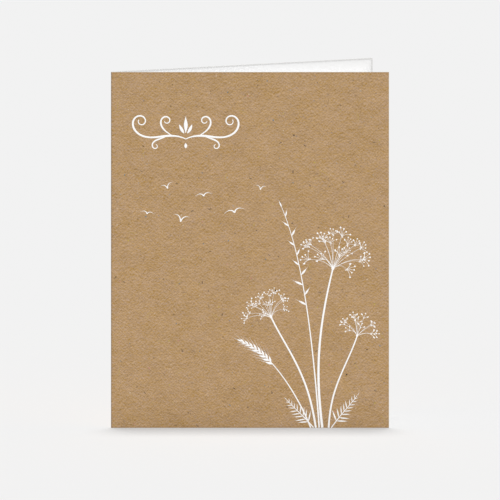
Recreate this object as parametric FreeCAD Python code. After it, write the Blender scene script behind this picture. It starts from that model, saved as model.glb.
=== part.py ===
import FreeCAD, Part
import math
import os

# A folded memorial card: one sheet of card, scored and folded once down its left side,
# standing upright on the lower edges of its two panels.
#
# The front panel lies in the XZ plane and faces -Y. The fold is at its -X side. The back
# panel swings away from it, towards +Y. The origin is under the middle of the card, on the
# surface that the card stands on. Sizes are in millimetres and degrees.

FRONT_WIDTH = 107.95  # outermost point of the fold to the front panel's free edge (4 1/4 in)
BACK_WIDTH = 107.95  # the same for the back panel, measured along that panel
CARD_HEIGHT = 139.7  # lower edge to upper edge, along the fold (5 1/2 in)
SHEET_THICKNESS = 0.4
OPENING_ANGLE = 19.7  # between the two panels
FOLD_INNER_RADIUS = 0.25  # inside of the bend
CREASE_BEAD_RADIUS = 0.11  # ridge that the score raises along the inside of the bend

FOLD_OUTER_RADIUS = FOLD_INNER_RADIUS + SHEET_THICKNESS


def polar(centre, radius, angle):
    """The point at this distance and angle from a centre, in the XY plane."""
    turn = math.radians(angle)
    return centre + FreeCAD.Vector(radius * math.cos(turn), radius * math.sin(turn), 0)


def arc(centre, radius, start, end):
    """The arc about a centre from one angle to another."""
    middle = (start + end) / 2
    points = [polar(centre, radius, angle) for angle in (start, middle, end)]
    return Part.Arc(*points).toShape()


def fold_axis():
    """Where the bend's axis crosses the XY plane when the card stands centred over the origin."""
    turn = math.radians(OPENING_ANGLE)
    front_flat = FRONT_WIDTH - FOLD_OUTER_RADIUS
    back_flat = BACK_WIDTH - FOLD_OUTER_RADIUS
    back_reach = back_flat * math.cos(turn) - FOLD_INNER_RADIUS * math.sin(turn)
    width = FOLD_OUTER_RADIUS + max(front_flat, back_reach)
    depth = FOLD_OUTER_RADIUS * (1 + math.cos(turn)) + back_flat * math.sin(turn)
    return FreeCAD.Vector(FOLD_OUTER_RADIUS - width / 2, FOLD_OUTER_RADIUS - depth / 2, 0)


def sheet_section():
    """The sheet's cross-section, seen from above: two straight panels joined by the bend.

    Angles are about the bend's axis. They run from the back panel's side, round the outside
    of the fold, to the front panel's side at 270 degrees.
    """
    axis = fold_axis()
    front_side = 270
    back_side = 90 + OPENING_ANGLE

    # The bead is a round ridge whose own centre lies on the inner arc, half way round it.
    crease = (front_side + back_side) / 2
    bead_half_angle = math.degrees(2 * math.asin(CREASE_BEAD_RADIUS / (2 * FOLD_INNER_RADIUS)))
    bead_front = polar(axis, FOLD_INNER_RADIUS, crease + bead_half_angle)
    bead_top = polar(axis, FOLD_INNER_RADIUS - CREASE_BEAD_RADIUS, crease)
    bead_back = polar(axis, FOLD_INNER_RADIUS, crease - bead_half_angle)

    front_outer = polar(axis, FOLD_OUTER_RADIUS, front_side)
    front_inner = polar(axis, FOLD_INNER_RADIUS, front_side)
    front_run = FreeCAD.Vector(FRONT_WIDTH - FOLD_OUTER_RADIUS, 0, 0)
    back_outer = polar(axis, FOLD_OUTER_RADIUS, back_side)
    back_inner = polar(axis, FOLD_INNER_RADIUS, back_side)
    back_run = polar(FreeCAD.Vector(0, 0, 0), BACK_WIDTH - FOLD_OUTER_RADIUS, OPENING_ANGLE)

    edges = [
        arc(axis, FOLD_OUTER_RADIUS, back_side, front_side),
        Part.makeLine(front_outer, front_outer + front_run),
        Part.makeLine(front_outer + front_run, front_inner + front_run),
        Part.makeLine(front_inner + front_run, front_inner),
        arc(axis, FOLD_INNER_RADIUS, front_side, crease + bead_half_angle),
        Part.Arc(bead_front, bead_top, bead_back).toShape(),
        arc(axis, FOLD_INNER_RADIUS, crease - bead_half_angle, back_side),
        Part.makeLine(back_inner, back_inner + back_run),
        Part.makeLine(back_inner + back_run, back_outer + back_run),
        Part.makeLine(back_outer + back_run, back_outer),
    ]
    return Part.Face(Part.Wire(edges))


def folded_card():
    """The whole card: its section raised to the card's height."""
    return sheet_section().extrude(FreeCAD.Vector(0, 0, CARD_HEIGHT))


def main():
    """Build the card and write it."""
    card = folded_card()
    os.makedirs("parts", exist_ok=True)
    card.exportStep("parts/folded_card.step")
    box = card.BoundBox
    print("corners", box.XMin, box.YMin, box.ZMin, box.XMax, box.YMax, box.ZMax)
    print("volume", card.Volume, "valid", card.isValid(), "solids", len(card.Solids))


main()
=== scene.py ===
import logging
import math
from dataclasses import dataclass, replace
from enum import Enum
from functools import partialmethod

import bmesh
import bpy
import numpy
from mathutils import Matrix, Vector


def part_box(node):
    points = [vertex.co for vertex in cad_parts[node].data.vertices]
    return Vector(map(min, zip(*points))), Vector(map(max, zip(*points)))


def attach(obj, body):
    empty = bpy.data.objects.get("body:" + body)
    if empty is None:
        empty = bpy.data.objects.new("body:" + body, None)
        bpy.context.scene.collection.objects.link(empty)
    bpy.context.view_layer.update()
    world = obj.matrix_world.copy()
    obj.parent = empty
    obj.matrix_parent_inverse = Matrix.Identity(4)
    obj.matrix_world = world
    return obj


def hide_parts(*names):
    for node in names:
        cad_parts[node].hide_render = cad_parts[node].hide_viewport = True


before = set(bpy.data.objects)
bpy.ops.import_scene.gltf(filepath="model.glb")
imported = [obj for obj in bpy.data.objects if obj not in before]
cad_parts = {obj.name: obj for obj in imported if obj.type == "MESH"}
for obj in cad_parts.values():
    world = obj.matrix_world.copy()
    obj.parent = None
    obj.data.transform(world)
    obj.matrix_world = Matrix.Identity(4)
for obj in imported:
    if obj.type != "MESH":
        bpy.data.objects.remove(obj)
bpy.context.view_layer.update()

# A folded memorial card that stands on its lower edges: one sheet of kraft board, brown
# outside and white inside, with a meadow of umbels and grasses, a few far birds and a pen
# flourish printed in white on its front panel.
#
# Everything is in metres in the model's own frame: the front panel faces -Y, the fold is at
# -X and the card stands on z = 0. Places on the front panel are in millimetres, to the right
# of the fold and up from the lower edge, and headings are in degrees clockwise from upright.
# Finishes work in millimetres on the unfolded sheet.

LOG = logging.getLogger("memorial_card")
MM = 0.001
GOLDEN_TURN = math.pi * (3 - math.sqrt(5))
Colour = tuple[float, float, float]
Spot = tuple[float, float]
Mark = tuple[float, float, float, float]
Stops = tuple[tuple[float, Colour], ...]


# --- Node trees -------------------------------------------------------------------------


class Wire:
    """The output of a node. Arithmetic on it adds the nodes that work the result out."""

    def __init__(self, bench: "NodeBench", socket: bpy.types.NodeSocket) -> None:
        """Wrap one output socket of a bench's tree."""
        self.bench = bench
        self.socket = socket

    def run(self, operation: str, *terms: "Term") -> "Wire":
        """What a Math or Vector Math node makes of this value and other terms."""
        return self.bench.maths(operation, self, *terms)

    def follow(self, operation: str, first: "Term") -> "Wire":
        """The same with this value as the second term."""
        return self.bench.maths(operation, first, self)

    def also(self, output: str) -> "Wire":
        """Another output of the same node."""
        return Wire(self.bench, self.bench.find(self.socket.node.outputs, output))

    def between(self, low: "Term", high: "Term") -> "Wire":
        """How far this value is from low to high, held to 0 and 1."""
        share = (self - low) / (high - low)
        return self.bench.add("ShaderNodeClamp", inputs={"Value": share})

    def within(self, low: "Term", high: "Term") -> "Wire":
        """1 up to the low value, fading to 0 at the high one."""
        return 1.0 - self.between(low, high)

    __add__ = __radd__ = partialmethod(run, "ADD")
    __mul__ = __rmul__ = partialmethod(run, "MULTIPLY")
    __sub__, __rsub__ = partialmethod(run, "SUBTRACT"), partialmethod(follow, "SUBTRACT")
    __truediv__, __rtruediv__ = partialmethod(run, "DIVIDE"), partialmethod(follow, "DIVIDE")
    __lt__, __gt__ = partialmethod(run, "LESS_THAN"), partialmethod(run, "GREATER_THAN")
    __mod__ = partialmethod(run, "MODULO")


Term = Wire | float | Colour


class NodeBench:
    """A node tree as it is wired up, for a finish or for a shape."""

    def __init__(self, tree: bpy.types.NodeTree) -> None:
        """Work on one tree."""
        self.tree = tree

    @staticmethod
    def find(sockets: bpy.types.bpy_prop_collection, key: str | int) -> bpy.types.NodeSocket:
        """The socket in use that has this name, or this place among those in use."""
        used = [socket for socket in sockets if socket.enabled]
        return used[[socket.name for socket in used].index(key) if isinstance(key, str) else key]

    def feed(self, socket: bpy.types.NodeSocket, value: object) -> None:
        """Link a wire to an input socket, or set the socket's own value.

        Args:
            socket: The input.
            value: A wire, or what the socket holds. One number fills a whole vector.
        """
        if isinstance(value, Wire):
            self.tree.links.new(value.socket, socket)
        elif socket.type == "VECTOR" and isinstance(value, (int, float)):
            socket.default_value = (value,) * 3
        elif socket.type == "RGBA":
            socket.default_value = (*value, 1.0)
        else:
            socket.default_value = value

    def add(self, kind: str, settings: dict | None = None, inputs: dict | None = None,
            output: str | int = 0) -> Wire:
        """Add a node.

        Args:
            kind: The node's type.
            settings: Its own settings, which are made first; "stops" are a colour ramp's.
            inputs: Values or wires for its sockets, by name or by place.
            output: The output to hand back, by name or by place.

        Returns:
            That output.
        """
        node = self.tree.nodes.new(kind)
        for name, value in (settings or {}).items():
            if name == "stops":
                self.set_stops(node.color_ramp, value)
            else:
                setattr(node, name, value)
        for key, value in (inputs or {}).items():
            self.feed(self.find(node.inputs, key), value)
        return Wire(self, self.find(node.outputs, output))

    @staticmethod
    def set_stops(ramp: bpy.types.ColorRamp, stops: Stops) -> None:
        """Give a ramp steps of flat colour.

        Args:
            ramp: The ramp.
            stops: Where each step starts, and its colour.
        """
        ramp.interpolation = "CONSTANT"
        while len(ramp.elements) < len(stops):
            ramp.elements.new(1.0)
        for element, (position, colour) in zip(ramp.elements, stops):
            element.position = position
            element.color = (*colour, 1.0)

    def maths(self, operation: str, *terms: Term) -> Wire:
        """Add a Math node, or a Vector Math node if any term is a vector.

        Args:
            operation: The node's operation.
            terms: The operation's terms, in order.

        Returns:
            The result.
        """
        vector = any(term.socket.type == "VECTOR" if isinstance(term, Wire)
                     else isinstance(term, tuple) for term in terms)
        return self.add("ShaderNodeVectorMath" if vector else "ShaderNodeMath",
                        {"operation": operation}, dict(enumerate(terms)))

    def vector(self, x: Term, y: Term, z: Term) -> Wire:
        """A vector from its three parts."""
        return self.add("ShaderNodeCombineXYZ", inputs={"X": x, "Y": y, "Z": z})

    def parts(self, vector: Wire) -> tuple[Wire, Wire, Wire]:
        """A vector's three parts."""
        x = self.add("ShaderNodeSeparateXYZ", inputs={"Vector": vector})
        return x, x.also("Y"), x.also("Z")

    def seen_directly(self) -> Wire:
        """Tell the camera's own rays from the rest.

        Returns:
            1 for rays that the camera sends, also by way of gloss or glass, else 0.
        """
        ray = self.add("ShaderNodeLightPath", output="Is Camera Ray")
        gloss, glass = ray.also("Is Glossy Ray"), ray.also("Is Transmission Ray")
        return ray.run("MAXIMUM", gloss).run("MAXIMUM", glass)

    def finish(self, kind: str, shader: Wire) -> None:
        """Add the tree's output node and link a shader to it."""
        node = self.tree.nodes.new(kind)
        self.tree.links.new(shader.socket, node.inputs["Surface"])


# --- Finishes ---------------------------------------------------------------------------


class FinishBench(NodeBench):
    """The node tree of one material, with the patterns that the finishes share."""

    FIRST_TURN: float = 0.5
    NOISE_WAY: tuple[float, ...] = (1.0, 1.7, 0.6)
    CELL_WAY: tuple[float, ...] = (1.0, 0.4, 0.0)

    def __init__(self, name: str) -> None:
        """Start a material with no nodes.

        Args:
            name: Its name.
        """
        self.material = bpy.data.materials.new(name)
        self.material.use_nodes = True
        super().__init__(self.material.node_tree)
        self.tree.nodes.clear()

    def sheet_place(self) -> Wire:
        """The place on the unfolded sheet, in millimetres."""
        return self.add("ShaderNodeUVMap", {"uv_map": "Sheet"}, output="UV")

    def turned(self, place: Wire, angle: Term) -> Wire:
        """A place turned about the third axis."""
        return self.add("ShaderNodeVectorRotate", {"rotation_type": "Z_AXIS"},
                        {"Vector": place, "Angle": angle})

    def noise(self, place: Wire, period: float, shift: float, detail: float = 0.0,
              dimensions: str = "2D") -> Wire:
        """Smooth noise about zero.

        Args:
            place: Where.
            period: About how long one wave is, in the place's own units.
            shift: Moves the pattern, and turns its own grid so that no two line up.
            detail: How many finer waves are added.
            dimensions: "2D" or "3D".

        Returns:
            The noise.
        """
        turned = self.turned(place, self.FIRST_TURN + shift)
        moved = turned / period + tuple(shift * part for part in self.NOISE_WAY)
        value = self.add("ShaderNodeTexNoise", {"noise_dimensions": dimensions},
                         {"Vector": moved, "Scale": 1.0, "Detail": detail}, "Fac")
        return value - 0.5

    def cells(self, place: Wire, size: float, shift: float) -> tuple[Wire, Wire, Wire]:
        """Scatter points, about one to each square.

        Args:
            place: Where.
            size: The square's side, in the place's own units.
            shift: Moves the scatter.

        Returns:
            The distance to the nearest point, the offset from it, and a random vector that
            belongs to it.
        """
        spot = place / size + tuple(shift * part for part in self.CELL_WAY)
        near = self.add("ShaderNodeTexVoronoi", {"voronoi_dimensions": "2D"},
                        {"Vector": spot, "Scale": 1.0, "Randomness": 1.0}, "Distance")
        offset = (spot - near.also("Position")) * size

        # Adding nothing makes a vector of the point's random colour.
        return near * size, offset, near.also("Color") + (0.0, 0.0, 0.0)

    def blend(self, share: Term, base: Term, over: Term) -> Wire:
        """One colour laid over another by a share."""
        return self.add("ShaderNodeMix", {"data_type": "RGBA"},
                        {"Factor": share, "A": base, "B": over}, "Result")

    def surface(self, colour: Term, roughness: Term, specular: float, height: Wire,
                relief: float) -> bpy.types.Material:
        """Close the material with a Principled shader.

        Args:
            colour: Base colour.
            roughness: Roughness.
            specular: The shader's specular level, the same all over.
            height: Height of the surface in units of the relief.
            relief: How high that unit is, in metres.

        Returns:
            The finished material.
        """
        normal = self.add("ShaderNodeBump", inputs={"Height": height, "Distance": relief})
        self.finish("ShaderNodeOutputMaterial", self.add("ShaderNodeBsdfPrincipled", inputs={
            "Base Color": colour, "Roughness": roughness, "Specular IOR Level": specular,
            "Normal": normal}))
        return self.material


@dataclass(frozen=True)
class FlatSheet:
    """The unfolded sheet's sizes: its length, its height and where along it the fold is."""

    length: float
    height: float
    fold_at: float

    def gaps(self, place: Wire) -> tuple[Wire, Wire, Wire]:
        """Measure how near a place is to what bounds it.

        Args:
            place: The place on the sheet.

        Returns:
            The distances to the nearer side, to the nearer of top and foot, and to the fold.
        """
        along, up, _ = place.bench.parts(place)
        side = along.run("MINIMUM", self.length - along)
        end = up.run("MINIMUM", self.height - up)
        return side, end, (along - self.fold_at).run("ABSOLUTE")


@dataclass(frozen=True, kw_only=True)
class Fleck:
    """One kind of fleck in the board, with its sizes in millimetres.

    There is about one place for a fleck to each square cell, and a share of the places has
    one. A ragged fleck has an uneven outline, and a raised one lifts the surface.
    """

    cell: float
    share: float
    shift: float
    colour: Colour = (0.0, 0.0, 0.0)
    ragged: bool = False
    raised: float = 0.0


@dataclass(frozen=True, kw_only=True)
class Specks(Fleck):
    """Round specks, with a least and a greatest radius and strength.

    The higher the rarity, the fewer of them are strong. Tints are picked at random. The
    solid share of a speck's radius doesn't fade.
    """

    radii: Spot
    strengths: Spot
    tints: Stops = ()
    rarity: float = 1.0
    ragged: bool = True
    solid: float = 0.65

    def scatter(self, place: Wire) -> tuple[Wire, Term, Term]:
        """Scatter the specks.

        Args:
            place: The place on the sheet.

        Returns:
            The specks as a mask, how strongly each is laid on, and its colour.
        """
        bench = place.bench
        distance, _, chance = bench.cells(place, self.cell, self.shift)
        spread, presence, pick = bench.parts(chance)
        (least, greatest), (faintest, strongest) = self.radii, self.strengths
        radius = least + (greatest - least) * spread
        mask = distance.within(radius * self.solid, radius) * (presence < self.share)
        strength = faintest + pick.run("POWER", self.rarity) * (strongest - faintest)
        if not self.tints:
            return mask, strength, self.colour
        return mask, strength, bench.add("ShaderNodeValToRGB", {"stops": self.tints},
                                         {"Fac": pick}, "Color")


@dataclass(frozen=True, kw_only=True)
class Fibres(Fleck):
    """Short curved fibres, each turned its own way by at most the swing.

    The solid share of a fibre's width doesn't fade, nor does the firm share of its length.
    """

    length: float
    width: float
    strength: float
    swing: float = math.pi
    bow: float = 1.6
    solid: float = 0.3
    firm: float = 0.35

    def scatter(self, place: Wire) -> tuple[Wire, Term, Term]:
        """Scatter the fibres.

        Args:
            place: The place on the sheet.

        Returns:
            The fibres as a mask, how strongly they are laid on, and their colour.
        """
        bench = place.bench
        _, offset, chance = bench.cells(place, self.cell, self.shift)
        turn, presence, curl = bench.parts(chance)
        along, across, _ = bench.parts(bench.turned(offset, (turn - 0.5) * (2 * self.swing)))
        bowed = across + along * along * (curl - 0.5) * (self.bow / self.length)
        thin = bowed.run("ABSOLUTE").within(self.solid * self.width, self.width)
        short = along.run("ABSOLUTE").within(self.firm * self.length, 0.5 * self.length)
        return thin * short * (presence < self.share), self.strength, self.colour


def felt(shift: float, colour: Colour) -> Fibres:
    """A layer of faint fibres that lie close together and lean to both sides of level."""
    return Fibres(cell=2.5, share=0.9, shift=shift, colour=colour, length=3.6, width=0.15,
                  strength=0.09, swing=0.95)


@dataclass(frozen=True)
class KraftFace:
    """The brown outer side: pressed pulp with a streaky grain, specks and short fibres.

    Clouds are given as their period, weight and stretch, and streaks as their period,
    weight and lean. The drift and the raggedness are a period and how far a place is moved.
    Bands are the distances at which a mark starts to fade and is gone, strengths are how
    strongly it is laid on, and fringes are how far its outline strays.
    """

    sheet: FlatSheet
    tone: Colour = (0.446, 0.289, 0.149)
    light_swing: Colour = (0.057, 0.074, 0.143)
    warm_swing: Colour = (0.025, 0.014, -0.046)
    grain_gain: float = 3.2
    grain_relief: float = 0.12
    clouds: tuple[tuple[float, float, float], ...] = (
        (0.45, 1.60, 1.3), (1.05, 0.42, 1.5), (1.9, 0.40, 1.2), (3.6, 0.48, 1.25),
        (6.8, 0.43, 1.5), (17.0, 0.14, 1.2))
    streaks: tuple[tuple[float, float, float], ...] = (
        (0.55, 0.82, 46.0), (0.57, 0.82, -44.0), (0.60, 0.67, 24.0), (0.63, 0.67, -21.0),
        (0.67, 0.74, 2.0))
    streak_stretch: float = 6.0
    drift: Spot = (7.0, 1.3)
    raggedness: Spot = (0.5, 0.35)
    flecks: tuple[Specks | Fibres, ...] = (
        Specks(cell=4.6, share=0.62, shift=2.0, radii=(0.16, 0.32), strengths=(0.2, 0.7),
               colour=(0.14, 0.107, 0.083)),
        Specks(cell=6.5, share=0.5, shift=23.0, radii=(0.15, 0.29), strengths=(0.25, 0.8),
               colour=(0.68, 0.56, 0.44)),
        Fibres(cell=6.0, share=0.7, shift=77.0, length=2.8, width=0.12, strength=0.25,
               colour=(0.62, 0.49, 0.34)),
        felt(13.0, (0.60, 0.42, 0.24)),
        felt(37.0, (0.26, 0.155, 0.07)),
        felt(53.0, (0.62, 0.43, 0.25)),
        felt(71.0, (0.27, 0.165, 0.075)),
        Specks(cell=8.2, share=0.62, shift=61.0, radii=(0.18, 0.33), strengths=(0.68, 0.68),
               tints=((0.0, (0.21, 0.20, 0.25)), (0.26, (0.37, 0.35, 0.33)),
                      (0.42, (0.52, 0.43, 0.06)), (0.64, (0.56, 0.20, 0.22)),
                      (0.82, (0.03, 0.19, 0.32)))),
        Fibres(cell=21.0, share=0.6, shift=91.0, length=4.0, width=0.16, strength=0.4,
               colour=(0.50, 0.38, 0.06)),
        Fibres(cell=13.0, share=0.6, shift=31.0, length=3.0, width=0.13, strength=0.4,
               colour=(0.13, 0.09, 0.055), raised=0.3),
        Fibres(cell=14.0, share=0.45, shift=113.0, length=1.25, width=0.26, strength=0.7,
               colour=(0.060, 0.045, 0.035), ragged=True),
        Specks(cell=12.0, share=0.68, shift=47.0, radii=(0.24, 0.46), strengths=(0.24, 0.98),
               colour=(0.045, 0.036, 0.032), rarity=4.0))
    burnish: Colour = (0.32, 0.165, 0.035)
    burnish_strength: float = 0.5
    burnish_end_band: Spot = (0.15, 0.7)
    burnish_side_band: Spot = (0.0, 0.5)
    wear: Colour = (0.80, 0.77, 0.72)
    wear_strength: float = 0.6
    wear_cut_band: Spot = (0.10, 0.15)
    wear_cut_fringe: float = 0.1
    wear_fold_band: Spot = (0.1, 0.34)
    wear_fold_fringe: float = 0.25
    wear_fold_strength: float = 0.5

    def grain(self, place: Wire, shift: float) -> Wire:
        """Lay clouds of many sizes under thin felted streaks of several leans.

        Args:
            place: The place on the sheet.
            shift: Moves the pattern.

        Returns:
            The grain's height or lightness about zero.
        """
        bench, total = place.bench, 0.0
        period, reach = self.drift
        wander = place + bench.vector(0.0, bench.noise(place, period, 51.0) * reach, 0.0)
        for period, weight, stretch in self.clouds:
            drawn_out = wander * (1.0 / stretch, 1.0, 1.0)
            total = bench.noise(drawn_out, period, shift + period) * weight + total
        for period, weight, lean in self.streaks:
            turned = bench.turned(wander, math.radians(-lean))
            along = turned * (1.0 / self.streak_stretch, 1.0, 1.0)
            beside = along + (0.0, period / 2, 0.0)
            streak = (bench.noise(along, period, shift + period)
                      - bench.noise(beside, period, shift + period))
            total = streak * weight + total
        return total * self.grain_gain

    def flecked(self, place: Wire, colour: Wire, height: Wire) -> tuple[Wire, Wire]:
        """Lay the flecks in, each kind over the ones before it.

        Args:
            place: The place on the sheet.
            colour: The bare board's colour.
            height: The bare board's height.

        Returns:
            The colour and the height with the flecks.
        """
        bench = place.bench
        period, reach = self.raggedness
        ragged = place + bench.vector(bench.noise(place, period, 5.0) * reach,
                                      bench.noise(place, period, 9.0) * reach, 0.0)
        for fleck in self.flecks:
            mask, strength, tint = fleck.scatter(ragged if fleck.ragged else place)
            colour = bench.blend(mask * strength, colour, tint)
            if fleck.raised:
                height = height + mask * fleck.raised
        return colour, height

    def material(self) -> bpy.types.Material:
        """Make the finish.

        Returns:
            The finish as a material.
        """
        bench = FinishBench("kraft face")
        place = bench.sheet_place()
        light = self.grain(place, 3.0)
        warm = self.grain(place, 41.0)
        colour = (light * self.light_swing + warm * self.warm_swing + 1.0) * self.tone
        pulp = bench.noise(place, period=0.5, shift=7.0, detail=3.0)
        colour, height = self.flecked(place, colour, pulp + light * self.grain_relief)

        # The guillotine darkens the ends, and the cut and the fold wear through to white.
        side_gap, end_gap, fold_gap = self.sheet.gaps(place)
        burnished = end_gap.within(*self.burnish_end_band).run(
            "MAXIMUM", side_gap.within(*self.burnish_side_band))
        colour = bench.blend(burnished * self.burnish_strength, colour, self.burnish)
        rough = bench.noise(place, period=0.5, shift=15.0, detail=2.0)
        cut_gap = side_gap.run("MINIMUM", end_gap) + rough * self.wear_cut_fringe
        frayed_gap = fold_gap + rough * self.wear_fold_fringe
        worn_fold = frayed_gap.within(*self.wear_fold_band) * self.wear_fold_strength
        worn = cut_gap.within(*self.wear_cut_band).run("MAXIMUM", worn_fold)
        colour = bench.blend(worn * self.wear_strength, colour, self.wear)
        return bench.surface(colour, roughness=0.86 - pulp * 0.08, specular=0.22,
                             height=height, relief=0.03 * MM)


@dataclass(frozen=True)
class WhiteFace:
    """The white inner side: smooth, with a faint cloudy look and a grey line at its cut.

    Bands are the distances at which a painted shade starts to fade and is gone. The side is
    painted darker towards its cut and its fold, and the grey line at its cut is painted shade
    too.
    """

    sheet: FlatSheet
    tone: Colour = (0.87, 0.87, 0.87)
    shade: Colour = (0.76, 0.76, 0.76)
    shade_band: Spot = (0.2, 4.2)
    cloud_range: Spot = (-0.5, 1.5)
    cloud_strength: float = 0.08
    cut_line: Colour = (0.60, 0.60, 0.595)
    cut_band: Spot = (0.28, 0.9)
    crease_band: Spot = (0.1, 0.5)
    crease_strength: float = 0.3

    def material(self) -> bpy.types.Material:
        """Make the finish.

        Returns:
            The finish as a material.
        """
        bench = FinishBench("white inner face")
        place = bench.sheet_place()
        side_gap, end_gap, fold_gap = self.sheet.gaps(place)
        edge_gap = side_gap.run("MINIMUM", end_gap)
        cloud = bench.noise(place, period=6.0, shift=11.0, detail=1.0)
        cloudy = cloud.between(*self.cloud_range) * self.cloud_strength
        colour = bench.blend(cloudy, self.tone, self.shade)
        # Painted shade: the inner side is painted darker over its last few millimetres towards
        # the cut edges.
        colour = bench.blend(edge_gap.within(*self.shade_band), colour, self.shade)
        # Painted shade: a thin grey line of painted shade runs along the cut.
        colour = bench.blend(edge_gap.within(*self.cut_band), colour, self.cut_line)
        # Painted shade: darker near the fold, where the two inner faces shade each other.
        painted_fold_shade = fold_gap.within(*self.crease_band) * self.crease_strength
        colour = bench.blend(painted_fold_shade, colour, self.shade)
        fine = bench.noise(place, period=0.35, shift=19.0, detail=1.0)
        return bench.surface(colour, roughness=0.72 - fine * 0.1, specular=0.25,
                             height=fine, relief=0.004 * MM)


@dataclass(frozen=True)
class CutEdge:
    """The guillotined edge: white board under a thin brown skin, with loose fibres."""

    core: Colour = (0.70, 0.69, 0.67)
    skin: Colour = (0.50, 0.39, 0.27)
    skin_band: Spot = (0.12, 0.30)
    skin_fringe: float = 0.25
    lint: Colour = (0.86, 0.85, 0.83)
    lint_range: Spot = (-0.3, 0.5)
    lint_strength: float = 0.25

    def material(self) -> bpy.types.Material:
        """Make the finish.

        Returns:
            The finish as a material.
        """
        bench = FinishBench("cut edge")
        place = bench.sheet_place()
        through = bench.add("ShaderNodeAttribute", {"attribute_name": "through"}, output="Fac")
        uneven = bench.noise(place, period=0.8, shift=2.0, detail=3.0)
        brown = (through + uneven * self.skin_fringe).within(*self.skin_band)
        colour = bench.blend(brown, self.core, self.skin)
        fray = bench.noise(place, period=0.25, shift=8.0, detail=2.0)
        linty = fray.between(*self.lint_range) * self.lint_strength
        colour = bench.blend(linty, colour, self.lint)
        return bench.surface(colour, roughness=0.85 - fray * 0.1, specular=0.2,
                             height=fray, relief=0.02 * MM)


@dataclass(frozen=True)
class WhiteInk:
    """Opaque white print, faintly mottled by the board under it."""

    tone: Colour = (0.995, 0.99, 0.985)
    thin: Colour = (0.93, 0.91, 0.88)
    thin_range: Spot = (-0.12, 0.88)
    thin_strength: float = 0.3

    def material(self) -> bpy.types.Material:
        """Make the finish.

        Returns:
            The finish as a material.
        """
        bench = FinishBench("white print")
        place = bench.add("ShaderNodeTexCoord", output="Object")
        mottle = bench.noise(place, period=0.9 * MM, shift=4.0, detail=2.0, dimensions="3D")
        fine = bench.noise(place, period=0.22 * MM, shift=6.0, detail=2.0, dimensions="3D")
        thinned = (mottle * 1.2 + fine * 0.8).between(*self.thin_range)
        colour = bench.blend(thinned * self.thin_strength, self.tone, self.thin)
        return bench.surface(colour, roughness=0.62 - fine * 0.12, specular=0.3,
                             height=fine + mottle, relief=0.008 * MM)


@dataclass(frozen=True)
class PaleFloor:
    """The studio's floor: plain and pale, with the card's soft shadow on it.

    The floor is a middling grey that the camera also sees glow, so that it looks pale, takes
    a faint shadow and still throws little light back on the card.
    """

    seen: float = 0.888
    tone: Colour = (0.48, 0.46, 0.44)

    def material(self) -> bpy.types.Material:
        """Make the finish.

        Returns:
            The finish as a material.
        """
        bench = FinishBench("pale floor")
        matt = bench.add("ShaderNodeBsdfPrincipled", inputs={
            "Base Color": self.tone, "Roughness": 1.0, "Specular IOR Level": 0.0})
        glow = bench.add("ShaderNodeEmission", inputs={
            "Color": tuple(self.seen - part for part in self.tone), "Strength": 1.0})
        pale = bench.add("ShaderNodeAddShader", inputs={0: matt, 1: glow})
        bench.finish("ShaderNodeOutputMaterial", bench.add("ShaderNodeMixShader", inputs={
            0: bench.seen_directly(), 1: matt, 2: pale}))
        return bench.material


# --- Shape trees ------------------------------------------------------------------------


class Knob(Enum):
    """The kinds of named input that a shape tree has: their sockets, and the units given."""

    NUMBER = ("NodeSocketFloat", "as it is")
    LENGTH = ("NodeSocketFloat", "millimetres")
    ANGLE = ("NodeSocketFloat", "degrees")
    COUNT = ("NodeSocketInt", "as it is")
    PLACE = ("NodeSocketVector", "as it is")
    FINISH = ("NodeSocketMaterial", "as it is")

    def inner(self, value: object) -> object:
        """A value as the tree takes it: a length in metres, and an angle in radians."""
        if self is Knob.LENGTH:
            return value * MM
        return math.radians(value) if self is Knob.ANGLE else value


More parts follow.
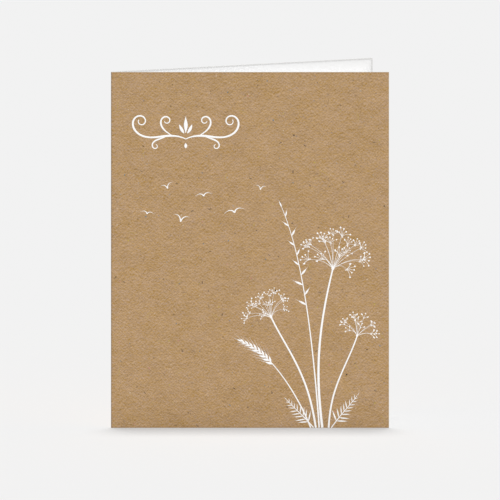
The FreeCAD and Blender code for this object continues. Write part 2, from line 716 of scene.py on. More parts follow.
class ShapeTree(NodeBench):
    """A Geometry Nodes tree with named inputs, run on a mesh to leave a plain mesh."""

    def __init__(self, name: str) -> None:
        """Start a tree that takes a geometry and gives one back.

        Args:
            name: Its name.
        """
        tree = bpy.data.node_groups.new(name, "GeometryNodeTree")
        super().__init__(tree)
        for way in ("INPUT", "OUTPUT"):
            tree.interface.new_socket("Geometry", in_out=way,
                                      socket_type="NodeSocketGeometry")
        self.entry = tree.nodes.new("NodeGroupInput")
        self.base = Wire(self, self.entry.outputs["Geometry"])
        self.sockets: dict[str, tuple[str, Knob]] = {}

    def knobs(self, kind: Knob, *names: str) -> list[Wire]:
        """Add named inputs of one kind.

        Args:
            kind: Their kind.
            names: Their names.

        Returns:
            The inputs, in the order of their names.
        """
        for name in names:
            made = self.tree.interface.new_socket(name, in_out="INPUT",
                                                  socket_type=kind.value[0])
            self.sockets[name] = (made.identifier, kind)
        return [Wire(self, self.entry.outputs[name]) for name in names]

    def index(self) -> Wire:
        """The place of a point in its list."""
        return self.add("GeometryNodeInputIndex")

    def attribute(self, name: str, kind: str = "FLOAT") -> Wire:
        """A named attribute of the geometry."""
        return self.add("GeometryNodeInputNamedAttribute", {"data_type": kind},
                        {"Name": name}, "Attribute")

    def random(self, bounds: Spot, seed: Term, item: Wire) -> Wire:
        """A random number between two bounds for each item, the same each run."""
        return self.add("FunctionNodeRandomValue", {"data_type": "FLOAT"}, {
            "Min": bounds[0], "Max": bounds[1], "ID": item, "Seed": seed}, "Value")

    def join(self, *shapes: Wire) -> Wire:
        """Join geometries.

        Args:
            shapes: The geometries.

        Returns:
            All of them as one.
        """
        node = self.tree.nodes.new("GeometryNodeJoinGeometry")
        for shape in shapes:
            self.tree.links.new(shape.socket, node.inputs[0])
        return Wire(self, node.outputs[0])

    def dressed(self, shape: Wire, finish: Wire, where: Term = True) -> Wire:
        """A geometry with a material on the faces that a selection picks."""
        return self.add("GeometryNodeSetMaterial", inputs={
            "Geometry": shape, "Selection": where, "Material": finish})

    def close(self, shape: Wire) -> None:
        """Send the finished geometry out."""
        node = self.tree.nodes.new("NodeGroupOutput")
        self.tree.links.new(shape.socket, node.inputs["Geometry"])

    def grow(self, name: str, base: bpy.types.Mesh, values: dict) -> bpy.types.Object:
        """Run the tree on a mesh.

        Args:
            name: The finished piece's name.
            base: The mesh that the tree starts from.
            values: A value for each named input, in the unit of its kind.

        Returns:
            An object at the origin with the result as its plain mesh.
        """
        piece = bpy.data.objects.new(name, base)
        bpy.context.scene.collection.objects.link(piece)
        modifier = piece.modifiers.new("Shape", "NODES")
        modifier.node_group = self.tree
        for label, value in values.items():
            identifier, kind = self.sockets[label]
            modifier[identifier] = kind.inner(value)
        layers = bpy.context.evaluated_depsgraph_get()
        grown = bpy.data.meshes.new_from_object(
            piece.evaluated_get(layers), preserve_all_data_layers=True, depsgraph=layers)
        piece.modifiers.clear()
        piece.data = grown
        grown.name = name
        bpy.data.meshes.remove(base)
        return piece


# --- The sheet --------------------------------------------------------------------------


@dataclass(frozen=True)
class CardShape:
    """The folded card's sizes: the outer ones from the model, the rest as it was cut."""

    low: Vector
    high: Vector
    thickness: float = 0.4 * MM
    opening: float = math.radians(19.7)
    inner_radius: float = 0.25 * MM
    bead_radius: float = 0.11 * MM

    @property
    def outer_radius(self) -> float:
        """Outside of the bend."""
        return self.inner_radius + self.thickness

    @property
    def middle_radius(self) -> float:
        """The bend at the middle of the sheet's thickness."""
        return self.inner_radius + self.thickness / 2

    @property
    def height(self) -> float:
        """Lower edge to upper edge."""
        return self.high.z - self.low.z

    @property
    def front_run(self) -> float:
        """The flat part of the front panel."""
        return self.high.x - self.low.x - self.outer_radius

    @property
    def back_run(self) -> float:
        """The flat part of the back panel, from how deep the card stands."""
        depth = self.high.y - self.low.y - self.outer_radius * (1 + math.cos(self.opening))
        return depth / math.sin(self.opening)

    @property
    def turn(self) -> float:
        """How far the sheet turns at the fold."""
        return math.pi - self.opening

    @property
    def bend_run(self) -> float:
        """The length of sheet in the bend."""
        return self.turn * self.middle_radius

    @property
    def length(self) -> float:
        """The whole sheet laid flat, across the fold."""
        return self.back_run + self.bend_run + self.front_run

    @property
    def axis(self) -> Vector:
        """Where the bend's axis stands."""
        return Vector((self.low.x + self.outer_radius, self.low.y + self.outer_radius, 0.0))

    @property
    def flat(self) -> FlatSheet:
        """The unfolded sheet's sizes in millimetres."""
        return FlatSheet(self.length / MM, self.height / MM,
                         (self.back_run + self.bend_run / 2) / MM)


class SheetSide(Enum):
    """The three surfaces of the sheet."""

    OUTER = 0
    INNER = 1
    CUT = 2


class FoldTree(ShapeTree):
    """A tree that bends a flat sheet about an upright axis and dresses its surfaces."""

    def __init__(self) -> None:
        """Build the tree."""
        super().__init__("Fold")
        start, run, turn, facing, inner, middle, bead = self.knobs(
            Knob.NUMBER, "Bend Start", "Bend Length", "Bend Angle", "Back Facing",
            "Inner Radius", "Middle Radius", "Bead Radius")
        (axis,) = self.knobs(Knob.PLACE, "Axis")
        finishes = self.knobs(Knob.FINISH, "Outer Finish", "Inner Finish", "Cut Finish")
        along, depth, height = self.parts(self.add("GeometryNodeInputPosition"))
        slide = (along - start).run("MINIMUM", 0.0) + (along - start - run).run("MAXIMUM", 0.0)
        bent = along.between(start, start + run) * turn
        heading = bent + facing
        cosine, sine = heading.run("COSINE"), heading.run("SINE")

        # The score raises a round bead along the inside of the bend.
        off_crease = (bent - turn * 0.5) * inner
        raised = (bead * bead - off_crease * off_crease).run("MAXIMUM", 0.0).run("SQRT")
        radius = middle - depth - raised * (depth > 0.0)
        folded = self.vector(cosine * radius - sine * slide,
                             sine * radius + cosine * slide, height) + axis
        shape = self.add("GeometryNodeSetPosition", {},
                         {"Geometry": self.base, "Position": folded})
        shape = self.add("GeometryNodeRealizeInstances", {}, {"Geometry": shape})
        side = self.attribute("side", "INT")
        for which, finish in zip(SheetSide, finishes):
            shape = self.dressed(shape, finish, (side - which.value).run("ABSOLUTE") < 0.5)
        self.close(shape)


@dataclass
class FoldedSheet:
    """The card itself: cut flat with softened edges, then folded by a shape tree."""

    shape: CardShape
    panel_columns: int = 24
    bend_columns: int = 28
    rows: int = 30
    edge_radius: float = 0.08 * MM
    edge_steps: int = 3

    def stations(self) -> list[float]:
        """Space out the columns of points: few on the panels and many in the bend.

        Returns:
            Their distances along the flat sheet.
        """
        stations, start = [], 0.0
        for run, count in ((self.shape.back_run, self.panel_columns),
                           (self.shape.bend_run, self.bend_columns),
                           (self.shape.front_run, self.panel_columns)):
            stations += [start + run * step / count for step in range(count)]
            start += run
        return [*stations, self.shape.length]

    def cut_profile(self) -> list[Spot]:
        """Round the cut off.

        Returns:
            Its section as insets and depths, from the outer side to the inner.
        """
        half, radius = self.shape.thickness / 2, self.edge_radius
        turns = [math.pi / 2 * step / self.edge_steps for step in range(self.edge_steps + 1)]
        quarter = [(radius * (1 - math.sin(turn)), half - radius * (1 - math.cos(turn)))
                   for turn in turns]
        return [(inset, -depth) for inset, depth in quarter] + quarter[::-1]

    def flat_mesh(self) -> bpy.types.Mesh:
        """Cut the unfolded sheet along X, with its outer side towards -Y.

        Returns:
            A closed mesh with the attributes "side" and "through" and the map "Sheet".
        """
        shape, stations = self.shape, self.stations()
        right, top = len(stations) - 1, self.rows
        everywhere = [(i, j) for i in range(right + 1) for j in range(top + 1)]
        border = ([(i, 0) for i in range(right)] + [(right, j) for j in range(top)]
                  + [(i, top) for i in range(right, 0, -1)] + [(0, j) for j in range(top, 0, -1)])
        outer, *between, inner = self.cut_profile()
        points, layers = [], []
        for places, (inset, depth) in ((everywhere, outer), (everywhere, inner),
                                       *((border, level) for level in between)):
            layers.append({place: len(points) + k for k, place in enumerate(places)})
            points += [(min(max(stations[i], inset), shape.length - inset), depth,
                        min(max(shape.height * j / top, inset), shape.height - inset))
                       for i, j in places]
        panels = [[layer[i, j], layer[i + 1, j], layer[i + 1, j + 1], layer[i, j + 1]][::order]
                  for layer, order in ((layers[0], 1), (layers[1], -1))
                  for i in range(right) for j in range(top)]
        rings = [layers[0], *layers[2:], layers[1]]
        cut = [(ring[here], after[here], after[beside], ring[beside])
               for ring, after in zip(rings, rings[1:])
               for here, beside in zip(border, border[1:] + border[:1])]
        counts = (right * top, right * top, len(cut))
        sides = [side.value for side, count in zip(SheetSide, counts) for _ in range(count)]

        mesh = bpy.data.meshes.new("flat sheet")
        mesh.from_pydata(points, [], [*panels, *cut])
        mesh.attributes.new("side", "INT", "FACE").data.foreach_set("value", sides)
        mesh.attributes.new("through", "FLOAT", "POINT").data.foreach_set(
            "value", [depth / shape.thickness + 0.5 for _, depth, _ in points])
        for loop, place in zip(mesh.loops, mesh.uv_layers.new(name="Sheet").data):
            spot = mesh.vertices[loop.vertex_index].co
            place.uv = (spot.x / MM, spot.z / MM)
        return mesh

    def build(self) -> bpy.types.Object:
        """Cut, fold and dress the sheet.

        Returns:
            The finished piece.
        """
        shape = self.shape
        sheet = FoldTree().grow("folded_sheet", self.flat_mesh(), {
            "Bend Start": shape.back_run,
            "Bend Length": shape.bend_run,
            "Bend Angle": shape.turn,
            "Back Facing": math.pi / 2 + shape.opening,
            "Axis": shape.axis,
            "Inner Radius": shape.inner_radius,
            "Middle Radius": shape.middle_radius,
            "Bead Radius": shape.bead_radius,
            "Outer Finish": KraftFace(shape.flat).material(),
            "Inner Finish": WhiteFace(shape.flat).material(),
            "Cut Finish": CutEdge().material(),
        })
        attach(sheet, "root")
        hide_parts("folded_card")
        return sheet


# --- The print --------------------------------------------------------------------------


def at_share(values: tuple[float, ...], share: float) -> float:
    """A value from a row of evenly spaced ones, with straight lines between them."""
    return float(numpy.interp(share * (len(values) - 1), range(len(values)), values))


@dataclass(frozen=True)
class PenLine:
    """One pulled line: where it starts, how long it is, how it bends and how wide it is.

    Bends are degrees turned in each millimetre, clockwise. Bends and widths are each given
    at even steps along the line. A line may carry a flower head of some size at its end.
    """

    start: Spot
    heading: float
    length: float
    bends: tuple[float, ...] = (0.0,)
    widths: tuple[float, ...] = (0.5,)
    head: float = 0.0
    step: float = 0.35
    fewest_steps: int = 4

    def trace(self) -> list[Mark]:
        """Pull the line.

        Returns:
            Its points, as place across, place up, heading and width.
        """
        count = max(self.fewest_steps, math.ceil(self.length / self.step))
        across, up, heading = *self.start, self.heading
        points = []
        for k in range(count + 1):
            points.append((across, up, heading, at_share(self.widths, k / count)))
            turn = at_share(self.bends, (k + 0.5) / count) * self.length / count
            middle = math.radians(heading + turn / 2)
            across += math.sin(middle) * self.length / count
            up += math.cos(middle) * self.length / count
            heading += turn
        return points

    def branch(self, share: float, turn: float, length: float, **rest: object) -> "PenLine":
        """Start a line that leaves this one.

        Args:
            share: How far along this line it leaves.
            turn: How far it turns away, clockwise.
            length: Its length.
            rest: Its other values.

        Returns:
            The branch.
        """
        points = self.trace()
        across, up, heading, _ = points[round(share * (len(points) - 1))]
        return PenLine((across, up), heading + turn, length, **rest)

    def mirrored(self, middle: float) -> "PenLine":
        """The same line on the other side of an upright axis."""
        start = (2 * middle - self.start[0], self.start[1])
        return replace(self, start=start, heading=-self.heading,
                       bends=tuple(-bend for bend in self.bends))


class InkTree(ShapeTree):
    """A shape tree for print: what it grows is pressed flat on the front panel."""

    SIDES: int = 8

    def __init__(self, name: str) -> None:
        """Start the tree, with the inputs that all print has.

        Args:
            name: Its name.
        """
        super().__init__(name)
        self.relief, self.face = self.knobs(Knob.NUMBER, "Relief", "Face")
        (self.ink,) = self.knobs(Knob.FINISH, "Ink")

    def tube(self, curve: Wire, half_width: Term) -> Wire:
        """Draw a round line along a curve, with closed ends.

        Args:
            curve: The curve.
            half_width: Half of the line's width.

        Returns:
            The line.
        """
        ring = self.add("GeometryNodeCurvePrimitiveCircle", {},
                        {"Resolution": self.SIDES, "Radius": 1.0})
        return self.add("GeometryNodeCurveToMesh", {}, {
            "Curve": curve, "Profile Curve": ring, "Scale": half_width, "Fill Caps": True})

    def upright(self, low: Term, high: Term, count: int) -> Wire:
        """A straight line up Z with a number of points."""
        line = self.add("GeometryNodeCurvePrimitiveLine", {}, {
            "Start": self.vector(0.0, 0.0, low), "End": self.vector(0.0, 0.0, high)})
        return self.add("GeometryNodeResampleCurve", {}, {"Curve": line, "Count": count})

    def drawn(self) -> Wire:
        """The base mesh's lines as curves."""
        return self.add("GeometryNodeMeshToCurve", {}, {"Mesh": self.base})

    def share_along(self) -> Wire:
        """How far along its line a point is, from 0 to 1."""
        return self.add("GeometryNodeSplineParameter", output="Factor")

    def points(self, count: Term, position: Wire) -> Wire:
        """A number of loose points, each at its own place."""
        return self.add("GeometryNodePoints", {}, {"Count": count, "Position": position})

    def dot(self, radius: Term) -> Wire:
        """A small round dot at the origin."""
        return self.add("GeometryNodeMeshIcoSphere", {}, {"Radius": radius, "Subdivisions": 2})

    def lean_of(self, direction: Wire) -> Wire:
        """How far a direction in the XZ plane leans from Z towards X."""
        x, _, z = self.parts(direction)
        return x.run("ARCTAN2", z)

    def placed(self, points: Wire, shape: Wire, lean: Term, size: Term = 1.0,
               where: Term = True) -> Wire:
        """Put a copy of a shape on each point.

        Args:
            points: The points.
            shape: The shape, which stands on the origin.
            lean: How far each copy leans from Z towards X.
            size: How large each copy is.
            where: The points that take one.

        Returns:
            The copies.
        """
        rotation = self.add("FunctionNodeEulerToRotation", {},
                            {"Euler": self.vector(0.0, lean, 0.0)})
        return self.add("GeometryNodeInstanceOnPoints", {}, {
            "Points": points, "Selection": where, "Instance": shape,
            "Rotation": rotation, "Scale": self.vector(size, size, size)})

    def press(self, *shapes: Wire) -> None:
        """Flatten shapes on the face, make them real, ink them and send them out.

        Args:
            shapes: The shapes.
        """
        flat = self.add("GeometryNodeTransform", {}, {
            "Geometry": self.join(*shapes), "Translation": self.vector(0.0, self.face, 0.0),
            "Scale": self.vector(1.0, self.relief, 1.0)})
        real = self.add("GeometryNodeRealizeInstances", {}, {"Geometry": flat})
        self.close(self.dressed(real, self.ink))


class LineTree(InkTree):
    """A tree that draws plain pen lines."""

    def __init__(self) -> None:
        """Build the tree."""
        super().__init__("Pen Lines")
        self.press(self.tube(self.drawn(), self.attribute("pen")))


class UmbelTree(InkTree):
    """A tree that draws stems, with an umbel on each line that carries a head.

    The rays of an umbel spread over a dome that is seen a little from above. Each ends in a
    small umbel of its own, and each of those rays ends in a dot.
    """

    RAY_POINTS: int = 8
    RAY_LIFT: float = 0.11
    RAY_TAPER: float = 0.45
    TILT: float = math.radians(17)
    FLORET_SPREAD: float = math.radians(80)
    FLORET_WIDTH: float = 0.42
    FLORET_SEED: float = 5.0
    RAY_LENGTHS: Spot = (0.9, 1.06)
    FLORET_SIZES: Spot = (0.8, 1.12)
    DOT_SIZES: Spot = (0.75, 1.15)
    LEAST_HEAD: float = 0.01

    def __init__(self) -> None:
        """Build the tree."""
        super().__init__("Umbel")
        rays, floret_rays, self.seed = self.knobs(Knob.COUNT, "Rays", "Floret Rays", "Seed")
        reach, ray_width, floret_reach, dot_size, core_size = self.knobs(
            Knob.LENGTH, "Ray Length", "Ray Width", "Floret Length", "Dot Size", "Core Size")
        (spread,) = self.knobs(Knob.ANGLE, "Spread")
        small_rays, small_tips, _ = self.fan(floret_rays, floret_reach, self.FLORET_SPREAD,
                                             ray_width * self.FLORET_WIDTH)
        dots = self.placed(small_tips, self.dot(dot_size), 0.0,
                           self.random(self.DOT_SIZES, self.seed, self.index()))
        main_rays, tips, lean = self.fan(rays, reach, spread, ray_width * 0.5)
        size = self.random(self.FLORET_SIZES, self.seed + self.FLORET_SEED, self.index())
        umbellets = self.placed(tips, self.join(small_rays, dots), lean, size)
        head = self.join(main_rays, umbellets, self.dot(core_size))

        stems = self.drawn()
        ends = self.add("GeometryNodeCurveEndpointSelection", {},
                        {"Start Size": 0, "End Size": 1})
        size = self.attribute("head")
        tangent = self.add("GeometryNodeInputTangent")
        heads = self.placed(stems, head, self.lean_of(tangent), size,
                            ends * (size > self.LEAST_HEAD))
        self.press(self.tube(stems, self.attribute("pen")), heads)

    def on_ray(self, ray: Wire, share: Term, count: Wire, length: Wire, width: Term) -> Wire:
        """Find a place on a ray.

        Args:
            ray: The ray's number.
            share: How far along it.
            count: How many rays there are.
            length: How long they are.
            width: How far the outermost leans.

        Returns:
            The place, in the XZ plane.
        """
        azimuth = ray * GOLDEN_TURN + self.seed
        polar = ((ray + 0.5) / count).run("SQRT") * width
        side = polar.run("SINE") * azimuth.run("COSINE")
        far = polar.run("SINE") * azimuth.run("SINE")
        rise = polar.run("COSINE") * math.cos(self.TILT) + far * math.sin(self.TILT)
        longer = self.random(self.RAY_LENGTHS, self.seed, ray) * length
        lift = self.maths("SINE", share * math.pi) * polar.run("SINE") * self.RAY_LIFT
        return self.vector(side * share * longer, 0.0, (rise * share + lift) * longer)

    def fan(self, count: Wire, length: Wire, width: Term,
            half_width: Term) -> tuple[Wire, Wire, Wire]:
        """Spread rays from the origin.

        Args:
            count: How many.
            length: How long they are.
            width: How far the outermost leans.
            half_width: Half of how wide they are at the root.

        Returns:
            The rays as thin lines, the points at their tips, and how far each tip leans.
        """
        index = self.index()
        ray = (index / self.RAY_POINTS).run("FLOOR")
        share = (index - ray * self.RAY_POINTS) / (self.RAY_POINTS - 1)
        path = self.points(count * self.RAY_POINTS,
                           self.on_ray(ray, share, count, length, width))
        curves = self.add("GeometryNodePointsToCurves", {}, {
            "Points": path, "Curve Group ID": ray, "Weight": share})
        taper = 1.0 - self.share_along() * self.RAY_TAPER
        tip = self.on_ray(index, 1.0, count, length, width)
        return self.tube(curves, taper * half_width), self.points(count, tip), self.lean_of(tip)


class SprigTree(InkTree):
    """A tree that draws a stem with seeds or leaflets along the upper part of it.

    They open less towards the tip, where the last one is in line with the stem. Each ends
    in a fine hair, its awn, which tapers to a tenth.
    """

    TIP_CLOSING: float = 0.35
    LAST: float = 0.999
    TURNS: Spot = (0.85, 1.15)
    SIZES: Spot = (0.9, 1.1)
    SEED_POINTS: int = 9
    SEED_TIP: float = 0.08
    HAIR_POINTS: int = 3
    HAIR_ROOT: float = 0.9
    HAIR_WIDTH: float = 0.06 * MM

    def __init__(self) -> None:
        """Build the tree."""
        super().__init__("Sprig")
        count, seed = self.knobs(Knob.COUNT, "Count", "Seed")
        first, pairing, base_size, tip_size = self.knobs(
            Knob.NUMBER, "First", "Pairing", "Base Size", "Tip Size")
        length, half_width, awn = self.knobs(Knob.LENGTH, "Length", "Half Width", "Awn")
        (angle,) = self.knobs(Knob.ANGLE, "Angle")
        stem, index = self.drawn(), self.index()
        odd = index % 2.0
        share = (index - pairing * odd) / (count - 1.0 - pairing)
        spot = self.add("GeometryNodeSampleCurve", {"mode": "FACTOR"},
                        {"Curves": stem, "Factor": first + share * (1.0 - first)}, "Position")
        closing = 1.0 - share * self.TIP_CLOSING
        opened = angle * closing * self.random(self.TURNS, seed, index)
        to_side = (odd * 2.0 - 1.0) * opened * (share < self.LAST)
        even_size = base_size + (tip_size - base_size) * share
        size = even_size * self.random(self.SIZES, seed, index)
        hair = self.tube(self.upright(length * self.HAIR_ROOT, length + awn, self.HAIR_POINTS),
                         (1.1 - self.share_along()) * self.HAIR_WIDTH)
        seeds = self.placed(self.points(count, spot),
                            self.join(self.spindle(length, half_width), hair),
                            self.lean_of(spot.also("Tangent")) + to_side, size)
        self.press(self.tube(stem, self.attribute("pen")), seeds)

    def spindle(self, length: Term, half_width: Term, fullest: float = 0.45) -> Wire:
        """Draw a pointed seed or leaflet that stands on the origin along Z.

        Args:
            length: Its length.
            half_width: Half of its width.
            fullest: How far along it is at its widest.

        Returns:
            The seed.
        """
        share = self.share_along().run("POWER", math.log(0.5) / math.log(fullest))
        swell = (share * math.pi).run("SINE").run("MAXIMUM", self.SEED_TIP)
        return self.tube(self.upright(0.0, length, self.SEED_POINTS), swell * half_width)


class BirdTree(InkTree):
    """A tree that draws a far bird on each point: two arched wings that meet at its body.

    The inner handle of a wing's curve is a share of its span, and the outer one is shares of
    its span and its arch. The stroke swells once along the wing and narrows to its tip.
    """

    WING_POINTS: int = 18
    INNER_HANDLE: float = 0.16
    OUTER_HANDLE: Spot = (0.55, 1.05)
    SWELL_START: float = 0.5
    SWELL_RUN: float = 2.6
    LEAST_PEN: float = 0.2
    NARROWING: float = 1.05

    def __init__(self) -> None:
        """Build the tree."""
        super().__init__("Birds")
        self.span, self.arch, self.pen = self.knobs(Knob.LENGTH, "Wing", "Arch", "Pen")
        (self.droop,) = self.knobs(Knob.NUMBER, "Droop")
        bird = self.join(self.wing(1.0), self.wing(-1.0))
        self.press(self.placed(self.base, bird, self.attribute("lean"),
                               self.attribute("size")))

    def wing(self, side: float) -> Wire:
        """Draw one wing.

        Args:
            side: 1 for the right one and -1 for the left.

        Returns:
            The wing.
        """
        span, arch, (out, rise) = self.span * side, self.arch, self.OUTER_HANDLE
        line = self.add("GeometryNodeCurvePrimitiveBezierSegment", {}, {
            "Resolution": self.WING_POINTS,
            "Start": (0.0, 0.0, 0.0),
            "Start Handle": self.vector(span * self.INNER_HANDLE, 0.0, arch),
            "End Handle": self.vector(span * out, 0.0, arch * rise),
            "End": self.vector(span, 0.0, arch * self.droop)})
        share = self.share_along()
        swell = (share * self.SWELL_RUN + self.SWELL_START).run("SINE").run("MAXIMUM", 0.0)
        pen = swell * (1.0 - self.LEAST_PEN) + self.LEAST_PEN
        return self.tube(line, pen * (self.NARROWING - share) * self.pen)


@dataclass
class PrintPress:
    """Puts print on the front panel: turns places into metres, and inks what is grown."""

    shape: CardShape
    ink: bpy.types.Material
    relief: float = 0.07

    def base(self, name: str, places: list[Spot], edges: list[tuple[int, int]],
             attributes: dict[str, list[float]]) -> bpy.types.Mesh:
        """Make a mesh for a tree to start from.

        Args:
            name: Its name.
            places: Its points, in millimetres across and up the front panel.
            edges: Its edges.
            attributes: The values of its points' attributes.

        Returns:
            The mesh, before the print is pressed on the panel's face.
        """
        low = self.shape.low
        mesh = bpy.data.meshes.new(name)
        mesh.from_pydata([(low.x + across * MM, 0.0, low.z + up * MM) for across, up in places],
                         edges, [])
        for label, values in attributes.items():
            mesh.attributes.new(label, "FLOAT", "POINT").data.foreach_set("value", values)
        return mesh

    def lines(self, pen_lines: tuple[PenLine, ...]) -> bpy.types.Mesh:
        """Lay pen lines out as chains of edges.

        Args:
            pen_lines: The lines.

        Returns:
            A mesh with their half widths and heads as attributes.
        """
        places, edges, pens, heads = [], [], [], []
        for line in pen_lines:
            first = len(places)
            for across, up, _, width in line.trace():
                places.append((across, up))
                pens.append(width / 2 * MM)
                heads.append(line.head)
            edges += [(k, k + 1) for k in range(first, len(places) - 1)]
        return self.base("pen lines", places, edges, {"pen": pens, "head": heads})

    def marks(self, marks: tuple[Mark, ...]) -> bpy.types.Mesh:
        """Loose points, each with a lean in degrees and a size."""
        across, up, leans, sizes = zip(*marks)
        return self.base("marks", list(zip(across, up)), [], {
            "lean": [math.radians(lean) for lean in leans], "size": sizes})

    def print(self, name: str, tree: InkTree, base: bpy.types.Mesh,
              values: dict) -> bpy.types.Object:
        """Grow one printed piece and set it on the card.

        Args:
            name: Its name.
            tree: The tree that draws it.
            base: The mesh that the tree starts from.
            values: The tree's own inputs.

        Returns:
            The finished piece.
        """
        piece = tree.grow(name, base, {**values, "Relief": self.relief,
                                       "Face": self.shape.low.y, "Ink": self.ink})
        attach(piece, "root")
        LOG.info("%s: %d faces", name, len(piece.data.polygons))
        return piece


@dataclass
class UmbelPlant:
    """A stem that carries an umbel at its end. Sizes are in millimetres and degrees."""

    name: str
    stem: PenLine
    rays: int
    ray_length: float
    floret_rays: int
    floret_length: float
    seed: int
    spread: float = 76.0
    ray_width: float = 0.17
    dot_size: float = 0.27
    core_size: float = 0.62

    def build(self, press: PrintPress, tree: InkTree) -> bpy.types.Object:
        """Print the plant. Its sizes have the names of the tree's inputs."""
        sizes = {size.replace("_", " ").title(): value for size, value in vars(self).items()}
        return press.print(sizes.pop("Name"), tree, press.lines((sizes.pop("Stem"),)), sizes)


class SprigForm(Enum):
    """What grows along a sprig's stem, as the tree's inputs, in millimetres and degrees."""

    GRASS_EAR = {"Count": 17, "First": 0.66, "Pairing": 0.0, "Angle": 30.0, "Length": 2.9,
                 "Half Width": 0.46, "Awn": 3.2, "Base Size": 1.0, "Tip Size": 0.8}
    OAT = {"Count": 11, "First": 0.55, "Pairing": 0.0, "Angle": 52.0, "Length": 3.3,
           "Half Width": 0.42, "Awn": 1.4, "Base Size": 1.05, "Tip Size": 0.75}
    FEATHER_LEAF = {"Count": 18, "First": 0.2, "Pairing": 1.0, "Angle": 55.0, "Length": 3.8,
                    "Half Width": 0.27, "Awn": 0.3, "Base Size": 1.1, "Tip Size": 0.35}


@dataclass
class Sprig:
    """A stem with seeds or leaflets along it."""

    name: str
    stem: PenLine
    form: SprigForm
    seed: int

    def build(self, press: PrintPress, tree: InkTree) -> bpy.types.Object:
        """Print the sprig."""
        values = {**self.form.value, "Seed": self.seed}
        return press.print(self.name, tree, press.lines((self.stem,)), values)


class BirdForm(Enum):
    """How a bird holds its wings, as the tree's inputs, in millimetres but for the droop."""

    GLIDING = {"Wing": 4.4, "Arch": 1.7, "Droop": 0.15, "Pen": 0.5}
    RISING = {"Wing": 3.6, "Arch": 2.6, "Droop": 0.95, "Pen": 0.5}


@dataclass
class Flock:
    """Birds that hold their wings alike, each with a place, a lean and a size."""

    name: str
    form: BirdForm
    marks: tuple[Mark, ...]

    def build(self, press: PrintPress, tree: InkTree) -> bpy.types.Object:
        """Print the birds."""
        return press.print(self.name, tree, press.marks(self.marks), self.form.value)


@dataclass
class Meadow:
    """The line drawing: umbels, grasses and leaves that rise from the lower edge, and birds."""

    press: PrintPress
    umbels: tuple[UmbelPlant, ...] = (
        UmbelPlant("umbel_tall", PenLine(
            (82.0, 0.15), -7.0, 63.0, (0.2, 0.45, 0.35, 0.15), (1.05, 0.9, 0.62), 1.0),
            17, 13.0, 7, 3.0, 3),
        UmbelPlant("umbel_low", PenLine(
            (79.5, 0.15), -9.0, 47.0, (-0.3, -0.9, -0.4, 0.9), (0.85, 0.6), 1.0),
            14, 8.8, 6, 2.4, 8, ray_width=0.15, dot_size=0.25, core_size=0.52),
        UmbelPlant("umbel_right", PenLine(
            (84.5, 0.15), 3.0, 38.0, (0.7, 1.2, 0.2, -1.2), (0.75, 0.52), 1.0),
            12, 7.0, 6, 2.1, 14, ray_width=0.15, dot_size=0.24, core_size=0.46))
    sprigs: tuple[Sprig, ...] = (
        Sprig("grass_nodding", PenLine(
            (77.5, 0.15), -22.0, 44.0, (-0.5, -0.7, -2.2), (0.6, 0.42, 0.2)),
            SprigForm.GRASS_EAR, 4),
        Sprig("grass_tall", PenLine(
            (80.8, 0.15), -4.0, 88.0, (-0.05, -0.1, -0.2, -0.6), (0.62, 0.45, 0.2)),
            SprigForm.OAT, 9),
        Sprig("leaf_left", PenLine(
            (78.6, 0.15), -40.0, 15.0, (-1.0, -0.4, 1.6), (0.45, 0.2)),
            SprigForm.FEATHER_LEAF, 2),
        Sprig("leaf_right", PenLine(
            (85.6, 0.15), 34.0, 16.0, (1.2, 0.4, -1.6), (0.45, 0.2)),
            SprigForm.FEATHER_LEAF, 6))
    flocks: tuple[Flock, ...] = (
        Flock("birds_gliding", BirdForm.GLIDING, (
            (48.0, 84.5, -14.0, 1.0), (36.0, 91.0, -9.0, 0.82), (14.0, 84.0, 10.0, 0.7))),
        Flock("birds_rising", BirdForm.RISING, (
            (27.0, 81.0, 12.0, 0.95), (22.0, 94.0, -18.0, 0.72), (58.0, 93.5, 8.0, 0.62))))

    def build(self) -> list[bpy.types.Object]:
        """Print the whole drawing."""
        drawing = {UmbelTree(): self.umbels, SprigTree(): self.sprigs, BirdTree(): self.flocks}
        return [motif.build(self.press, tree) for tree in drawing for motif in drawing[tree]]


@dataclass
class Flourish:
    """A pen flourish, the same on both sides of its middle."""

    press: PrintPress
    centre: Spot = (29.0, 116.0)
    slim: tuple[float, ...] = (0.15, 0.62, 1.0, 1.2, 1.24, 1.12, 0.86, 0.5, 0.1)
    full: tuple[float, ...] = (0.15, 0.6, 1.05, 1.4, 1.6, 1.55, 1.25, 0.85, 0.45, 0.1)

    def lines(self) -> tuple[PenLine, ...]:
        """Set out the lines.

        Returns:
            The middle's lines, the right half's, and their mirror images.
        """
        across, up = self.centre
        sweep = PenLine((across, up - 2.6), 62.0, 36.5, (6.2, 2.6, -5.2, -12.0, -26.0, -52.0),
                        (0.35, 0.95, 0.7, 0.85, 0.6, 0.32), step=0.2)
        curl = sweep.branch(0.15, -32.0, 16.0, bends=(2.0, -12.0, -34.0, -62.0),
                            widths=(0.3, 0.75, 0.6, 0.3), step=0.2)
        tendril = sweep.branch(0.2, 24.0, 11.5, bends=(-7.0, 3.0, 42.0, 88.0),
                               widths=(0.28, 0.66, 0.5, 0.26), step=0.2)
        leaf = PenLine((across + 0.6, up - 0.4), 38.0, 4.0, (-5.0,), self.slim, step=0.2)
        right = (sweep, curl, tendril, leaf)
        middle = PenLine((across, up - 0.2), 0.0, 6.4, (0.0,), self.full, step=0.2)
        drop = PenLine((across, up - 6.2), 0.0, 2.0, (0.0,), self.slim, step=0.1)
        return (middle, drop, *right, *(line.mirrored(across) for line in right))

    def build(self) -> bpy.types.Object:
        """Print the flourish."""
        return self.press.print("flourish", LineTree(), self.press.lines(self.lines()), {})


# --- The studio -------------------------------------------------------------------------


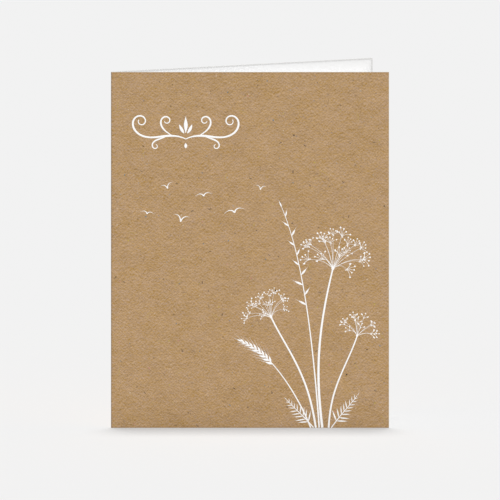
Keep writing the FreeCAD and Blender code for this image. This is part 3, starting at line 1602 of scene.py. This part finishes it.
def sky(azimuth: float, elevation: float) -> Vector:
    """The way to a place in the sky, in degrees from the front towards +X and from level."""
    side, rise = math.radians(azimuth), math.radians(elevation)
    return Vector((math.sin(side) * math.cos(rise), -math.cos(side) * math.cos(rise),
                   math.sin(rise)))


@dataclass
class Sun:
    """A soft far light, with its angular size in degrees.

    Its strength is what it throws on a surface that faces it, where 1 renders white as white.
    """

    name: str
    towards: Vector
    strength: float
    spread: float

    def shine(self, lit: bpy.types.Collection) -> None:
        """Hang the light.

        Args:
            lit: The objects that it falls on.
        """
        data = bpy.data.lights.new(self.name, "SUN")
        data.energy = self.strength * math.pi
        data.angle = math.radians(self.spread)
        lamp = bpy.data.objects.new(self.name, data)
        lamp.rotation_mode = "QUATERNION"
        lamp.rotation_quaternion = self.towards.to_track_quat("Z", "Y")
        bpy.context.scene.collection.objects.link(lamp)
        lamp.light_linking.receiver_collection = lit


@dataclass
class Studio:
    """The floor, the lights, the room and the camera.

    The card and the floor have lights of their own, so that the card is lit from all round
    and its shadow falls from overhead alone.
    """

    shape: CardShape
    card: bpy.types.Collection
    card_lights: tuple[Sun, ...] = (
        Sun("front light", sky(18, 31), 0.76, 30.0),
        Sun("side light", Vector((1.0, 0.0, 0.25)), 0.3, 60.0),
        Sun("back light", Vector((-0.5, 0.8, 0.35)), 0.8, 30.0))
    floor_lights: tuple[Sun, ...] = (Sun("top light", sky(180, 85), 0.75, 11.0),)
    room_light: float = 0.25
    floor_radius: float = 12.0
    camera_elevation: float = math.radians(8.5)
    view_width: float = 0.19413
    camera_distance: float = 0.6
    camera_reach: Spot = (0.01, 60.0)

    def floor(self) -> bpy.types.Object:
        """Lay a wide round floor under the card.

        Returns:
            The floor.
        """
        work = bmesh.new()
        bmesh.ops.create_circle(work, cap_ends=True, segments=96, radius=self.floor_radius)
        mesh = bpy.data.meshes.new("floor")
        work.to_mesh(mesh)
        work.free()
        mesh.materials.append(PaleFloor().material())
        floor = bpy.data.objects.new("floor", mesh)
        bpy.context.scene.collection.objects.link(floor)
        return floor

    def room(self) -> None:
        """Put an even dim light all round, which looks as pale as the floor."""
        world = bpy.data.worlds.new("room")
        world.use_nodes = True
        bpy.context.scene.world = world
        bench = NodeBench(world.node_tree)
        bench.tree.nodes.clear()
        direct = bench.seen_directly()
        level = direct * PaleFloor().seen + (1.0 - direct) * self.room_light
        bench.finish("ShaderNodeOutputWorld", bench.add("ShaderNodeBackground", inputs={
            "Color": (1.0, 1.0, 1.0), "Strength": level}))

    def camera(self) -> None:
        """Aim a long straight view at the front panel from a little above."""
        data = bpy.data.cameras.new("camera")
        data.type = "ORTHO"
        data.ortho_scale = self.view_width
        data.clip_start, data.clip_end = self.camera_reach
        camera = bpy.data.objects.new("camera", data)
        rise = self.camera_elevation
        aim = Vector((0.0, self.shape.low.y, self.shape.low.z + self.shape.height / 2))
        towards = Vector((0.0, -math.cos(rise), math.sin(rise)))
        camera.location = aim + towards * self.camera_distance
        camera.rotation_euler = (math.pi / 2 - rise, 0.0, 0.0)
        bpy.context.scene.collection.objects.link(camera)
        bpy.context.scene.camera = camera

    def build(self) -> None:
        """Set the studio up."""
        ground = bpy.data.collections.new("ground")
        ground.objects.link(self.floor())
        for lights, lit in ((self.card_lights, self.card), (self.floor_lights, ground)):
            for light in lights:
                light.shine(lit)
        self.room()
        self.camera()
        bpy.context.scene.view_settings.view_transform = "Standard"


def main() -> None:
    """Build the card, its print and the studio, and note how large the result is."""
    logging.basicConfig(level=logging.INFO, format="%(message)s")
    shape = CardShape(*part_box("folded_card"))
    sheet = FoldedSheet(shape).build()
    LOG.info("%s: %d faces", sheet.name, len(sheet.data.polygons))
    press = PrintPress(shape, WhiteInk().material())
    printed = [*Meadow(press).build(), Flourish(press).build()]
    LOG.info("%d printed pieces", len(printed))
    card = bpy.data.collections.new("card")
    for piece in (sheet, *printed):
        card.objects.link(piece)
    Studio(shape, card).build()


if __name__ == "__main__":
    main()
